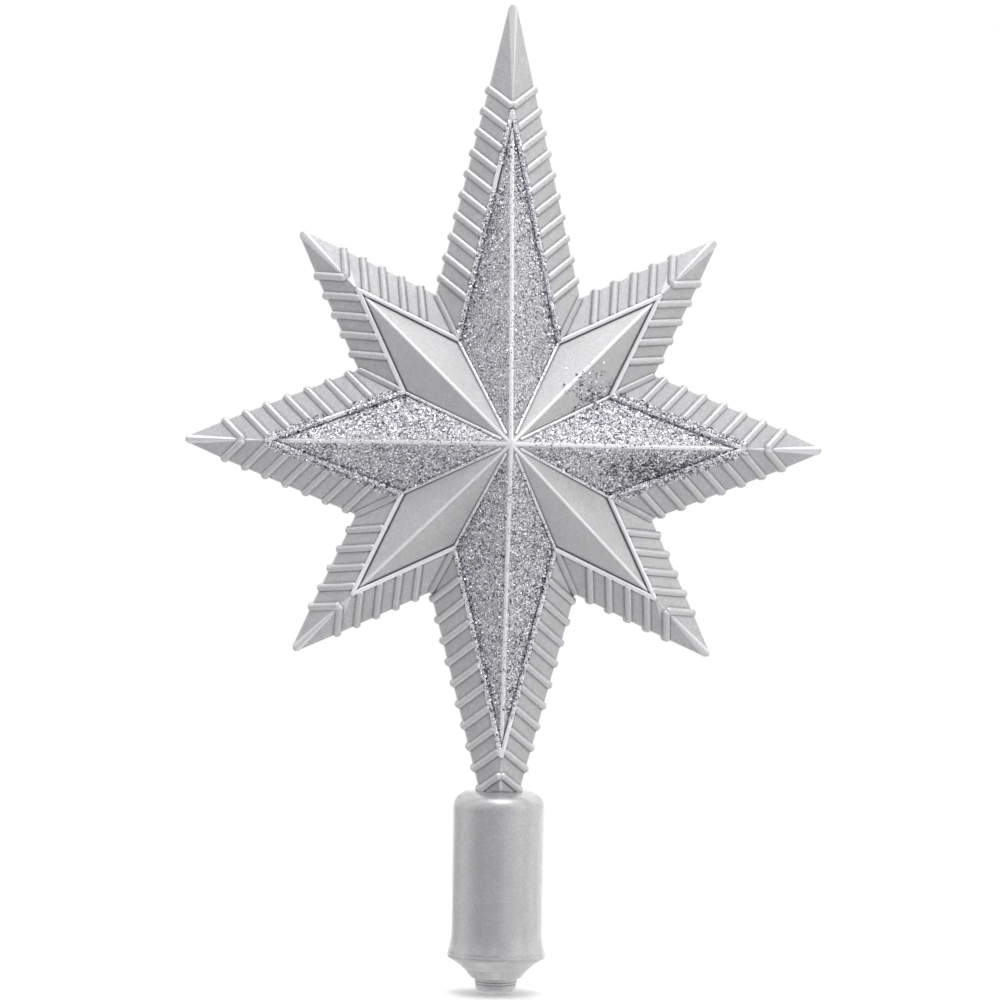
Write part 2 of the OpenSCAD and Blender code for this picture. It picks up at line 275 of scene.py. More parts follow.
def crossing(start, way, a, b):
    """Share of the line from a to b at which the line from start along way crosses it."""
    across = Vector((way.y, -way.x))
    return (start - a).dot(across) / (b - a).dot(across)


def inner_valley(ray):
    return ray.valley * bpy.context.scene.star_sizes.inner_valley


def outer_valley(ray):
    return ray.valley * bpy.context.scene.star_sizes.outer_valley


def edge_end(ray):
    """Where the two straight edges of a ray would meet, just past its round tip."""
    past = LONG_PAST if ray.length > LONG_RAY else SHORT_PAST
    return Vector((ray.length + past, 0))


def edge_point(ray, share):
    return outer_valley(ray).lerp(edge_end(ray), share)


def last_share(ray):
    return crossing(ray.rib_meet, ray.rib_way, outer_valley(ray), edge_end(ray))


def edge_points(ray):
    """Outer edge of one side of a ray, from its valley to its tip."""
    r = bpy.context.scene.star_sizes.tip_radius
    return [outer_valley(ray), edge_point(ray, last_share(ray)),
            Vector((ray.length - 1.1 * r, 0.9 * r)), Vector((ray.length - 0.5 * r, 0.75 * r)),
            Vector((ray.length - 0.1 * r, 0.35 * r)), Vector((ray.length, 0))]


STEPS = 5                # points from a valley to a tip, less one
RING = 16 * STEPS        # points all round the star
START = 10 * MM          # radius of the circle that the relief grows from


def relief(name, cavity=False):
    """Plain relief of a half star as a closed block, or the hollow to be cut out of it."""
    s = bpy.context.scene.star_sizes
    deselect()
    bpy.ops.mesh.primitive_circle_add(vertices=RING, radius=START, fill_type="TRIFAN",
                                      location=(0, 0, CENTRE), rotation=(math.pi / 2, 0, 0))
    star = settled(name)
    bpy.ops.object.mode_set(mode="EDIT")
    bpy.ops.mesh.select_mode(type="EDGE")
    for _ in range(3):
        bpy.ops.mesh.select_all(action="DESELECT")
        bpy.ops.mesh.select_non_manifold(extend=False)
        bpy.ops.mesh.extrude_region_move()
        bpy.ops.transform.resize(value=(2, 2, 2), center_override=(0, 0, CENTRE))
    bpy.ops.mesh.edge_face_add()
    bpy.ops.object.mode_set(mode="OBJECT")

    sink = s.wall if cavity else 0
    for vertex in star.data.vertices:
        out = Vector((vertex.co.x, vertex.co.z - CENTRE))
        if out.length < START / 2:
            vertex.co = (0, sink - PEAK, CENTRE)
            continue
        row = round(math.log2(out.length / START))
        turn = round(math.degrees(math.atan2(out.x, out.y)) / (360 / RING))
        bearing = round(turn / (2 * STEPS)) * 45
        step = turn - bearing // 45 * 2 * STEPS
        ray = RAYS[bearing % 360]
        side = CLOCKWISE if step >= 0 else ANTICLOCKWISE
        index = STEPS - abs(step)
        inner = inner_valley(ray) if index == 0 else ray.facet_end
        outer = edge_points(ray)[index]
        if cavity:
            outer = outer.lerp(inner, 0.13 if index == 0 else 0.35)
        if row == 0:
            vertex.co = place(bearing, side, inner, s.bead - s.step - sink)
        elif row == 1:
            vertex.co = place(bearing, side, inner, s.bead - sink - (s.step if cavity else 0))
        elif row == 2:
            height = s.tip if index >= STEPS - 1 else s.edge
            vertex.co = place(bearing, side, outer, 0.3 * MM if cavity else height)
        else:
            vertex.co = place(bearing, side, outer, -1 * MM if cavity else 0)
    bpy.ops.object.mode_set(mode="EDIT")
    close_up(star)
    bpy.ops.object.mode_set(mode="OBJECT")
    return star


def off_ridge(point):
    """Distance in plan from the nearest ray's ridge line."""
    out = Vector((point.x, point.z - CENTRE))
    turn = math.degrees(math.atan2(out.x, out.y))
    return out.length * abs(math.sin(math.radians(turn - round(turn / 45) * 45)))


def round_edges(star):
    """Rounds the ridges, the smooth ends, the outer edge and the meeting edge of a plain relief."""
    s = bpy.context.scene.star_sizes
    small = 0.01 * MM

    def on_ridge(point):
        return off_ridge(point) < small and -point.y > s.tip - small

    def in_facets(a, b):
        return on_ridge(a) and on_ridge(b) and max(-a.y, -b.y) > PEAK - small

    def in_end(a, b):
        return on_ridge(a) and on_ridge(b) and max(-a.y, -b.y) < s.bead + small and \
            (a - b).length > 5 * MM

    def on_edge(a, b):
        return all(s.edge - small < -p.y < s.tip + small for p in (a, b)) and \
            max(off_ridge(a), off_ridge(b)) > 0.2 * MM

    def on_seam(a, b):
        return max(abs(a.y), abs(b.y)) < small

    bpy.ops.object.mode_set(mode="EDIT")
    for wanted, width, segments in ((in_facets, s.ridge_round, 4), (in_end, s.nib_round, 4),
                                    (on_edge, s.edge_round, 3), (on_seam, s.edge_round, 1)):
        select_edges(star, wanted)
        bpy.ops.mesh.bevel(offset=width, segments=segments, affect="EDGES")
    close_up(star)
    bpy.ops.object.mode_set(mode="OBJECT")


# ---- ribs and beads ------------------------------------------------------------------------

INSET = 0.9 * MM         # from the outline to the start of a rib
BEAD_SINK = 0.1 * MM     # of the outline's bead
VALLEY_RISE = 0.3 * MM   # of a valley's bead over the facets
VALLEY_START = 0.1       # share of a valley that is left free of its bead, at the centre


def round_bar():
    """A ball whose poles lie along +Z, the start of every rib and bead."""
    deselect()
    bpy.ops.mesh.primitive_uv_sphere_add(segments=16, ring_count=8, radius=1)
    return settled("bar")


def bar(pattern, start, end, radius):
    """A copy of the pattern, stretched into a round-ended bar from start to end."""
    way = end - start
    turn = way.to_track_quat("Z", "Y").to_matrix()
    mesh = pattern.data.copy()
    for vertex in mesh.vertices:
        local = vertex.co * radius
        if vertex.co.z > 0.01:
            local.z += way.length
        vertex.co = start + turn @ local
    copy = bpy.data.objects.new("bar", mesh)
    bpy.context.collection.objects.link(copy)
    return copy


def rib_places(ray):
    """Start and end of each rib of one side of a ray, each as a point and a height."""
    s = bpy.context.scene.star_sizes
    step = ray.pitch / (edge_end(ray).x - outer_valley(ray).x)
    for i in range(ray.ribs):
        end = edge_point(ray, last_share(ray) - i * step)
        share = crossing(end, ray.rib_way, inner_valley(ray), ray.facet_end)
        start, height = inner_valley(ray).lerp(ray.facet_end, share), s.bead
        if share > 1:
            start = Vector((end.x - end.y * ray.rib_way.x / ray.rib_way.y, 0))
            along = (start.x - ray.facet_end.x) / (ray.length - ray.facet_end.x)
            height = s.bead + (s.tip - s.bead) * along
        yield start, height, end, s.edge


def bars_of(pattern, bearing, side):
    """Ribs and beads of one side of a ray; the valley's own are made with the clockwise side."""
    s = bpy.context.scene.star_sizes
    ray = RAYS[bearing]
    way = ray.rib_way

    for start, start_height, end, end_height in rib_places(ray):
        slope = (end_height - start_height) / (end - start).length
        past = s.rib_overhang - s.rib_radius
        yield bar(pattern,
                  place(bearing, side, start + way * INSET, start_height + slope * INSET - s.rib_sink),
                  place(bearing, side, end + way * past, end_height + slope * past - s.rib_sink),
                  s.rib_radius)

    valley = inner_valley(ray)
    yield bar(pattern, place(bearing, side, valley, s.bead - BEAD_SINK),
              place(bearing, side, ray.facet_end, s.bead - BEAD_SINK), s.bead_radius)
    if side == CLOCKWISE:
        low = s.bead - s.step + VALLEY_RISE
        yield bar(pattern, place(bearing, side, valley * VALLEY_START, PEAK + (low - PEAK) * VALLEY_START),
                  place(bearing, side, valley, low), s.valley_bead)
        outer = outer_valley(ray)
        slope = (s.edge - s.bead) / (outer - valley).length
        past = 0.5 * s.rib_overhang - s.rib_radius
        yield bar(pattern,
                  place(bearing, side, valley + ray.valley * INSET,
                        s.bead + slope * INSET - s.rib_sink),
                  place(bearing, side, outer + ray.valley * past, s.edge + slope * past - s.rib_sink),
                  s.rib_radius)


def off_line(point, a, b):
    """Distance in plan from the line between two places."""
    share = min(1, max(0, (point - a).dot(b - a) / (b - a).length_squared))
    return (point - a.lerp(b, share)).length


# Painted highlight on each kind of raised line, as a share of the brighter silver
RIDGE_HIGHLIGHT, BEAD_HIGHLIGHT, VALLEY_HIGHLIGHT, NIB_HIGHLIGHT, RIB_HIGHLIGHT = 1, 1, 0.7, 0.5, 0.2
NIB_TIP = 2 * MM         # stretch at a ray's tip left without painted highlight


def raised_mark(face, ribs):
    """How much painted highlight a face of the front half gets, from 0 to 1: faces of its raised lines get
    some.
    """
    s = bpy.context.scene.star_sizes
    out = Vector((face.center.x, face.center.z - CENTRE))
    height = -face.center.y
    turn = math.degrees(math.atan2(out.x, out.y))
    bearing = round(turn / 45) * 45
    off = math.radians(abs(turn - bearing))
    point = Vector((math.cos(off), math.sin(off))) * out.length
    ray = RAYS[bearing % 360]
    valley = inner_valley(ray)
    if height < s.edge - 1 * MM or face.normal.y > -0.2:
        return 0
    if point.y < s.ridge_round and point.x < ray.facet_end.x:
        return RIDGE_HIGHLIGHT
    if point.y < s.nib_round and ray.facet_end.x < point.x < ray.length - NIB_TIP:
        return NIB_HIGHLIGHT
    if off_line(point, valley, ray.facet_end) < 0.9 * s.bead_radius and height > s.bead:
        return BEAD_HIGHLIGHT
    if off_line(point, Vector((0, 0)), valley) < 0.8 * s.valley_bead and height > s.bead - 0.1 * MM:
        return VALLEY_HIGHLIGHT
    to_rib = min(off_line(point, *rib) for rib in ribs[bearing % 360])
    return RIB_HIGHLIGHT if abs(face.normal.y) > 0.75 and to_rib < 0.7 * s.rib_radius else 0


def mark_raised(half):
    """Paints highlights on the raised lines, as a share of brighter silver, in a face attribute."""
    ribs = {bearing: [(start, end) for start, _, end, _ in rib_places(ray)]
            for bearing, ray in RAYS.items()}
    marks = [raised_mark(face, ribs) for face in half.data.polygons]
    raised = half.data.attributes.new("raised", "FLOAT", "FACE")
    raised.data.foreach_set("value", marks)


class STAR_OT_mouldings(bpy.types.Operator):
    """Builds the two hollow moulded halves with their ridges, beads and ribs"""

    bl_idname = "star.mouldings"
    bl_label = "Moulded halves"

    def execute(self, context):
        front = relief("front_moulding")
        round_edges(front)
        pattern = round_bar()
        for bearing in RAYS:
            for side in (CLOCKWISE, ANTICLOCKWISE):
                for piece in bars_of(pattern, bearing, side):
                    combine(front, piece, "UNION")
        bpy.data.objects.remove(pattern)
        combine(front, relief("hollow", cavity=True), "DIFFERENCE")
        bpy.ops.object.mode_set(mode="EDIT")
        bpy.ops.mesh.select_all(action="SELECT")
        bpy.ops.mesh.dissolve_limited(angle_limit=math.radians(0.3))
        bpy.ops.object.mode_set(mode="OBJECT")
        mark_raised(front)
        only(front)
        bpy.ops.object.duplicate()
        rear = bpy.context.object
        rear.name = rear.data.name = "rear_moulding"
        rear.data.transform(Matrix.Scale(-1, 4, (0, 1, 0)))
        rear.data.flip_normals()
        for half, node in ((front, "front_shell"), (rear, "rear_shell")):
            smooth(half, 24)
            apply_modifier(half, "WEIGHTED_NORMAL", keep_sharp=True)
            half.data.materials.clear()
            half.data.materials.append(star_silver())
            finish(half, node)
        return {"FINISHED"}


# ---- glitter -------------------------------------------------------------------------------


THICKNESS = 0.12         # of a flake, as a share of its side
COAT_MIDDLES = {"top": 0.12, "right": 0.75, "bottom": 0.6, "left": 0.7}   # coarse glitter in the middle
SPILL = {0: 1.1, 90: 2.4, 180: 0.9, 270: 2.2}    # reach of the coat past its outline, in mm
BARE_RIDGE = (0.4 * MM, 1.3 * MM)       # off the ridge, where the coat starts and where it is full
RIDGE_FINE, RIDGE_COARSE = 0.1, 0.08    # share of each kind that stays on the ridge
EDGE_FADE = 0.8 * MM                    # width over which the coat ends at its outline
VALLEY_FADE = (-0.2 * MM, 0.8 * MM)     # the same in a valley
CENTRE_FADE = (3.5 * MM, 9 * MM)        # the same round the centre of the star
TIP_FADE = (-1.5 * MM, 1.5 * MM)        # the same at the end of the facets
STRIP = (1.8 * MM, 4.5 * MM)            # width of the coarse strip along the outline
COARSE_END = (8 * MM, 22 * MM)          # length of the coarse glitter at the end of the facets
PATCHES = 110                           # patches of coarse glitter along a metre
SPILL_ROOM = (0.5, 3, 7)                # along and off the ridge at the valley, and past the end, in mm
TILT = (math.radians(16), math.radians(25))      # of the fine and of the coarse flakes
SHADES = ((0.2, 0.85), (0, 1))          # painted shade of the fine and of the coarse flakes, from bright to dark
LIFT = (0.02, 0.16)                     # of a flake over the moulding, in mm

# Patch of the right coat whose flakes get the darkest painted shade: the place along and off the ridge,
# and the reach of each, in mm
DARK_PATCH_PLACE, DARK_PATCH_REACH, DARK_PATCH_SHADE = (40, 6), (22, 7), 0.95

# Flakes beside the right coat: their middle, as above, their spread and their number
OVERSPRAY_PLACE, OVERSPRAY_SPREAD, OVERSPRAY_FLAKES = (23.5, 15.1), 3.2 * MM, 240


def spots_in(rng, corners, count):
    """Random places in the triangle between three corners."""
    a, b = rng.random((2, count))
    fold = a + b > 1
    a[fold], b[fold] = 1 - a[fold], 1 - b[fold]
    p, q, r = (np.array(c) for c in corners)
    return [Vector(spot) for spot in p + a[:, None] * (q - p) + b[:, None] * (r - p)]


def ramp(value, low, high):
    """0 up to low, 1 from high, and straight between them."""
    return min(1, max(0, (value - low) / (high - low)))


def beyond(point, a, b):
    """Distance of a point from the line from a to b, positive on its outer side."""
    way = (b - a).normalized()
    return (point - a).dot(Vector((way.y, -way.x)))


# Places on the front where the coat is thin: ray, side, place along and off the ridge, radius in mm
THIN_SPOTS = ((0, ANTICLOCKWISE, 78, 6, 6), (180, ANTICLOCKWISE, 84, 3.5, 8),
              (270, CLOCKWISE, 50, 9.5, 5))


def thinning(bearing, side, spot):
    """How much of the front's coat stays in and round its thin places."""
    share = 1
    for ray, hand, along, off, radius in THIN_SPOTS:
        if (ray, hand) == (bearing, side):
            away = (spot - Vector((along, off)) * MM).length
            share *= ramp(away, 0.5 * radius * MM, 1.2 * radius * MM)
    return share


def coat(bearing, side, face, spot, middle):
    """How much of the fine and of the coarse glitter stays at a place, each from 0 to 1."""
    ray = RAYS[bearing]
    valley = inner_valley(ray)
    outline = -beyond(spot, ray.facet_end, valley)
    in_valley = -beyond(spot, valley, Vector((0, 0)))
    to_end = ray.facet_end.x - spot.x
    ridge = ramp(spot.y, *BARE_RIDGE)
    spill = SPILL[bearing] * MM
    edges = ramp(outline, -spill, EDGE_FADE - spill) * ramp(in_valley, *VALLEY_FADE)
    edges *= ramp(spot.length, *CENTRE_FADE) * ramp(to_end, *TIP_FADE)
    patch = noise.noise(Vector((spot.x * PATCHES, spot.y * PATCHES, bearing + 5 * side + face)))
    strip = 1 - ramp(outline, *STRIP)
    end = 1 - ramp(to_end, *COARSE_END)
    coarse = max(middle * (0.9 + 0.9 * patch), strip, end)
    if face == FRONT:
        edges *= thinning(bearing, side, spot)
    return (edges * (RIDGE_FINE + (1 - RIDGE_FINE) * ridge),
            edges * coarse * (RIDGE_COARSE + (1 - RIDGE_COARSE) * ridge))


def in_dark_patch(spot, chance):
    """Whether a flake of the right coat lies in the patch of darkest painted shade, which thins out from
    its middle.
    """
    away = (spot - Vector(DARK_PATCH_PLACE) * MM) / MM
    return chance < 0.75 - Vector((away.x / DARK_PATCH_REACH[0], away.y / DARK_PATCH_REACH[1])).length


def lay(pattern, tree, bearing, side, face, spots, tilt, rng):
    """Lays a copy of the pattern at each spot, on the moulding below it, and returns their points."""
    points = []
    for spot in spots:
        hit, normal, _, _ = tree.ray_cast(place(bearing, side, spot, 30 * MM, face), Vector((0, -face, 0)))
        lean = np.tan(rng.normal(0, tilt, 2))
        across = normal.orthogonal().normalized()
        up = normal + across * lean[0] + normal.cross(across) * lean[1]
        turn = up.to_track_quat("Z", "Y").to_matrix() @ Matrix.Rotation(rng.random() * math.pi, 3, "Z")
        shape = pattern * rng.uniform(0.75, 1.2)
        points.append(shape @ np.array(turn).T + np.array(hit + normal * rng.uniform(*LIFT) * MM))
    return points


def flakes(name, bearing, face, moulding, middle, rng):
    """Scatters fine and coarse flakes over the two facets of one ray."""
    g = bpy.context.scene.glitter_sizes
    ray = RAYS[bearing]
    tree = BVHTree.FromObject(moulding, bpy.context.evaluated_depsgraph_get())
    deselect()
    bpy.ops.mesh.primitive_cone_add(vertices=4, radius1=math.sqrt(0.5), depth=THICKNESS,
                                    rotation=(math.pi, 0, 0))
    pattern = settled("flake")
    shape = np.array([v.co for v in pattern.data.vertices])
    faces = [list(p.vertices) for p in pattern.data.polygons]
    bpy.data.objects.remove(pattern)

    corners = [Vector((0, 0)), inner_valley(ray) + Vector(SPILL_ROOM[:2]) * MM,
               ray.facet_end + Vector((SPILL_ROOM[2] * MM, 0))]
    area = abs((corners[1] - corners[0]).cross(corners[2] - corners[0])) / 2
    points, shades = [], []
    for side in (CLOCKWISE, ANTICLOCKWISE):
        for kind, (size, cover) in enumerate(((g.fine, g.fine_cover), (g.coarse, g.coarse_cover))):
            spots = spots_in(rng, corners, int(area * cover / size ** 2))
            kept = [s for s in spots if rng.random() < coat(bearing, side, face, s, middle)[kind]]
            points += lay(shape * size, tree, bearing, side, face, kept, TILT[kind], rng)
            kept_shades = rng.uniform(*SHADES[kind], len(kept))
            # Flakes in that patch of the right coat are painted with the dark shade.
            if (bearing, side, face) == (GLITTERED["right"], CLOCKWISE, FRONT):
                for i, (spot, chance) in enumerate(zip(kept, rng.random(len(kept)))):
                    if in_dark_patch(spot, chance):
                        kept_shades[i] = DARK_PATCH_SHADE
            shades += list(kept_shades)
    if (bearing, face) == (GLITTERED["right"], FRONT):
        stray = rng.normal(0, OVERSPRAY_SPREAD, (OVERSPRAY_FLAKES, 2))
        stray = [Vector(OVERSPRAY_PLACE) * MM + Vector(away) for away in stray]
        points += lay(shape * g.coarse, tree, bearing, ANTICLOCKWISE, face, stray, TILT[1], rng)
        shades += list(rng.uniform(0.2, 1, len(stray)))
    all_faces = [[i + n * len(shape) for i in f] for n in range(len(points)) for f in faces]
    mesh = bpy.data.meshes.new(name)
    mesh.from_pydata(np.concatenate(points).tolist(), [], all_faces)
    shade = mesh.attributes.new("shade", "FLOAT", "FACE")
    shade.data.foreach_set("value", np.repeat(shades, len(faces)))
    obj = bpy.data.objects.new(name, mesh)
    bpy.context.collection.objects.link(obj)
    obj.data.materials.append(glitter())
    return obj


class STAR_OT_glitter(bpy.types.Operator):
    """Lays a coat of flakes on the facets of the four long rays, front and rear"""

    bl_idname = "star.glitter"
    bl_label = "Glitter coats"

    def execute(self, context):
        rng = np.random.default_rng(context.scene.glitter_sizes.seed)
        for face, half in ((FRONT, "front"), (REAR, "rear")):
            moulding = bpy.data.objects[f"{half}_moulding"]
            for way, bearing in GLITTERED.items():
                piece = flakes(f"flakes_{half}_{way}", bearing, face, moulding, COAT_MIDDLES[way], rng)
                finish(piece, f"glitter_{half}_{way}")
        return {"FINISHED"}


# ---- socket --------------------------------------------------------------------------------

HOLE, MOUTH = 5.5 * MM, 4.7 * MM        # radius of the nose's seat in the sleeve, and its height
SEAT_TOP = 8 * MM                       # where the seat and the nose's spigot end
CAVITY_FOOT = 12.5 * MM                 # where the cavity has its full width
CROWN = 3 * MM                          # thickness of the sleeve's closed top
FLARE_TOP, FLARE_DROP, FLARE_STEPS = 19, 7, 8    # height of the flare and its fall, in mm
RIM, RIM_HEIGHT = 1.4 * MM, 11.3 * MM   # radius of the skirt's round rim, and its height
SLOT_GAP = 0.8 * MM                     # round the ray in its slot

# Below the rim: the cone, its small rings and the foot, as (radius, height) in mm
SKIRT_FOOT = ((11.9, 9.1), (10.9, 8.3), (10.75, 8.3), (10.6, 8.1), (9.55, 7.22), (9.3, 7.2),
              (9.15, 6.95), (7.4, 4.7))

# Above the nose's round end: its fine rings, its flange and its spigot, as (radius, height) in mm
NOSE_RINGS = ((6.0, 2.7), (5.9, 2.8), (6.05, 2.95), (6.15, 3.5), (6.05, 3.6), (6.2, 3.75),
              (6.4, 4.7), (5.4, 4.7), (5.4, 7.5), (4.9, 8))
NOSE_END = (3.5 * MM, 2.4 * MM, 2.4 * MM)        # middle (radius, height) and radius of its arc


def arc(x, z, radius, start, end, steps):
    """Points of an arc in a turned outline, as (radius, height) pairs."""
    angles = [math.radians(start + (end - start) * i / steps) for i in range(steps + 1)]
    return [(x + radius * math.cos(a), z + radius * math.sin(a)) for a in angles]


def turned(name, outline, closed):
    """Spins an outline of (radius, height) pairs about the frame's upright axis."""
    deselect()
    bpy.ops.mesh.primitive_circle_add(vertices=len(outline), radius=1, fill_type="NOTHING")
    obj = settled(name)
    for vertex, (r, z) in zip(obj.data.vertices, outline):
        vertex.co = (r, 0, z)
    bpy.ops.object.mode_set(mode="EDIT")
    if not closed:
        select_edges(obj, lambda a, b: max(a.x, b.x) < 0.001 * MM)
        bpy.ops.mesh.delete(type="EDGE")
    bpy.ops.mesh.select_all(action="SELECT")
    bpy.ops.mesh.spin(steps=128, angle=2 * math.pi, center=(0, 0, 0), axis=(0, 0, 1))
    close_up(obj)
    bpy.ops.object.mode_set(mode="OBJECT")
    return obj


def slot_block():
    """Outline of the bottom ray where it passes through the socket's top, as a block."""
    s = bpy.context.scene.star_sizes
    top = SLEEVE_HIGH.z
    ray = BOTTOM
    u = CENTRE - top
    share = (u - outer_valley(ray).x) / (edge_end(ray).x - outer_valley(ray).x)
    half = edge_point(ray, share).y + s.rib_overhang
    ridge = s.bead + (s.tip - s.bead) * (u - ray.facet_end.x) / (ray.length - ray.facet_end.x)
    deselect()
    bpy.ops.mesh.primitive_cylinder_add(vertices=8, radius=1, depth=12 * MM, location=(0, 0, top - 4 * MM))
    block = settled("slot")
    for vertex in block.data.vertices:
        x, y = vertex.co.x, vertex.co.y
        outer = abs(x) > abs(y)
        vertex.co.x = math.copysign(half if outer else 2 * MM, x)
        vertex.co.y = math.copysign((s.edge if outer else ridge) + SLOT_GAP, y)
    return block


class STAR_OT_socket(bpy.types.Operator):
    """Turns the socket's sleeve with its round shoulder and flared skirt, and the nose below it"""

    bl_idname = "star.socket"
    bl_label = "Socket"

    def execute(self, context):
        k = context.scene.socket_sizes
        top = SLEEVE_HIGH.z
        inside = k.radius - k.wall
        flare = k.skirt - k.radius - 0.1 * MM
        inner = k.shoulder - k.wall
        outline = [(0, top)]
        outline += arc(k.radius - k.shoulder, top - k.shoulder, k.shoulder, 90, 0, 14)
        outline += [(k.radius + flare * t * t / FLARE_STEPS ** 2,
                     (FLARE_TOP - FLARE_DROP * t / FLARE_STEPS) * MM) for t in range(FLARE_STEPS + 1)]
        outline += arc(k.skirt - RIM, RIM_HEIGHT, RIM, 25, -50, 10)
        outline += [(r * MM, z * MM) for r, z in SKIRT_FOOT]
        outline += [(HOLE, MOUTH), (HOLE, SEAT_TOP), (inside, CAVITY_FOOT)]
        outline += arc(inside - inner, top - CROWN - inner, inner, 0, 90, 8)
        outline += [(0, top - CROWN)]
        sleeve = turned("socket_body", outline, closed=False)
        combine(sleeve, slot_block(), "DIFFERENCE")

        nose_outline = [(k.leader, 0)]
        nose_outline += arc(*NOSE_END, -90, -8, 10)
        nose_outline += [(r * MM, z * MM) for r, z in NOSE_RINGS]
        nose_outline += [(k.leader, SEAT_TOP)]
        nose = turned("socket_end", nose_outline, closed=True)
        for piece, node in ((sleeve, "socket_sleeve"), (nose, "socket_nose")):
            smooth(piece, 32)
            piece.data.materials.clear()
            piece.data.materials.append(socket_silver())
            finish(piece, node)
        return {"FINISHED"}


def finish(obj, node):
    """Makes a finished piece stand for its CAD node."""
    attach(obj, "root")
    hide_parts(node)


# ---- materials -----------------------------------------------------------------------------


class Shader:
    """A material with a few helpers for adding and wiring nodes."""

    def __init__(self, name):
        self.material = bpy.data.materials.new(name)
        self.material.use_nodes = True
        self.tree = self.material.node_tree
        self.surface = self.tree.nodes["Principled BSDF"]

    def fill(self, sockets, values):
        """Links or sets each input socket."""
        for key, value in values.items():
            socket = sockets[key.replace("_", " ") if isinstance(key, str) else key]
            if isinstance(value, bpy.types.NodeSocket):
                self.tree.links.new(value, socket)
            else:
                socket.default_value = value

    def node(self, kind, **values):
        node = self.tree.nodes.new(kind)
        self.fill(node.inputs, values)
        return node

    def set(self, **values):
        self.fill(self.surface.inputs, values)

    def noise(self, scale, detail=3.0, roughness=0.6):
        place = self.node("ShaderNodeTexCoord").outputs["Object"]
        return self.node("ShaderNodeTexNoise", Vector=place, Scale=scale, Detail=detail,
                         Roughness=roughness).outputs["Fac"]

    def ranged(self, value, low, high, out_low, out_high):
        return self.node("ShaderNodeMapRange", Value=value, From_Min=low, From_Max=high,
                         To_Min=out_low, To_Max=out_high).outputs["Result"]

    def mix(self, factor, first, second):
        """Two colours mixed; the node's sockets for colours are found by their places."""
        node = self.tree.nodes.new("ShaderNodeMix")
        node.data_type = "RGBA"
        self.fill(node.inputs, {0: factor, 6: first, 7: second})
        return node.outputs[2]

    def attribute(self, name):
        node = self.node("ShaderNodeAttribute")
        node.attribute_name = name
        return node.outputs["Fac"]

    def painted_crease_shade(self, reach):
        """Mask of the shade painted into creases, from ambient occlusion: 0 deep in a crease and 1 on open
        ground.
        """
        node = self.node("ShaderNodeAmbientOcclusion", Distance=reach)
        node.samples = 6
        node.only_local = True
        return self.ranged(node.outputs["AO"], 0.4, 0.92, 0, 1)

    def worn(self, colour):
        """Sprayed silver, cloudy and grained, with faint stains."""
        cloud = self.ranged(self.noise(70, 5, 0.7), 0.35, 0.65, 0, 1)
        paint = self.mix(cloud, rgba(colour, 0.95), rgba(colour, 1.08))
        grain = self.ranged(self.noise(1300, 2), 0.35, 0.65, 0, 0.9)
        paint = self.mix(grain, paint, rgba(colour, 0.86))
        stain = self.ranged(self.noise(38, 6, 0.75), 0.54, 0.72, 0, 0.45)
        return self.mix(stain, paint, rgba(colour, 0.68))

    def bump(self, height, distance, strength=1.0):
        return self.node("ShaderNodeBump", Height=height, Distance=distance,
                         Strength=strength).outputs["Normal"]


def once(make):
    """Makes a material only the first time that it is asked for."""
    made = []

    def get():
        if not made:
            made.append(make())
        return made[0]
    return get


def rgba(colour, factor=1.0):
    return (*(c * factor for c in colour), 1)


@once
def star_silver():
    colour = bpy.context.scene.finishes.star
    m = Shader("star_silver")
    # Painted highlight: ridges, beads and ribs get a brighter silver by their face attribute.
    raised = m.attribute("raised")
    paint = m.mix(raised, m.worn(colour), rgba(colour, 1.66))
    # Painted shade: a dark silver is mixed into the creases.
    m.set(Base_Color=m.mix(m.painted_crease_shade(0.8 * MM), rgba(colour, 0.12), paint), Metallic=0.6,
          Roughness=m.ranged(raised, 0, 1, 0.38, 0.26),
          Normal=m.bump(m.noise(1700, 3), 0.06 * MM, 0.7))
    return m.material


@once
def socket_silver():
    colour = bpy.context.scene.finishes.socket
    m = Shader("socket_silver")
    # Painted shade: a dark silver is mixed into the creases.
    m.set(Base_Color=m.mix(m.painted_crease_shade(0.8 * MM), rgba(colour, 0.2), m.worn(colour)), Metallic=0.7,
          Roughness=m.ranged(m.noise(200), 0.3, 0.7, 0.28, 0.34),
          Normal=m.bump(m.noise(1700, 3), 0.05 * MM, 0.7))
    return m.material


@once
def glitter():
    f = bpy.context.scene.finishes
    m = Shader("glitter")
    # The flakes are tilted metal and reflect, and each is also painted bright or dark by its shade, as if
    # it caught or missed the light.
    painted_flake_shade = m.ranged(m.attribute("shade"), 0.57, 0.86, 0, 1)
    m.set(Base_Color=m.mix(painted_flake_shade, rgba(f.flake), rgba(f.flake_dark)), Metallic=1.0, Roughness=0.14)
    return m.material


# ---- stage ---------------------------------------------------------------------------------

LIGHT_LEVEL = 0.98                      # of the light all round
LIGHT_SLOPE = (0.13, 0.15, 0.22)        # how it grows to the right, behind and above
LIGHT_POLES = 0.23                      # more of it straight above and below
LIGHT_DIM = 0.2                         # less of it in front, a little to the left
DIM_WAY = (-0.34, -0.94, 0)
DIM_TINT = (0.98, 0.98, 1.03, 1)        # the dim part is a little bluer
LIGHT_SPOTS = 0.7                       # small bright and dim places all round, for the sparkle
FLOOR_SHADE = (0.05, 0.3)               # distances at which the floor starts to turn white and is white


def lamp(name, location, target, size, power):
    data = bpy.data.lights.new(name, "AREA")
    data.shape = "RECTANGLE"
    data.size, data.size_y = size
    data.energy = power
    obj = bpy.data.objects.new(name, data)
    obj.location = location
    obj.rotation_euler = (Vector(target) - Vector(location)).to_track_quat("-Z", "Y").to_euler()
    obj.visible_camera = False
    bpy.context.collection.objects.link(obj)


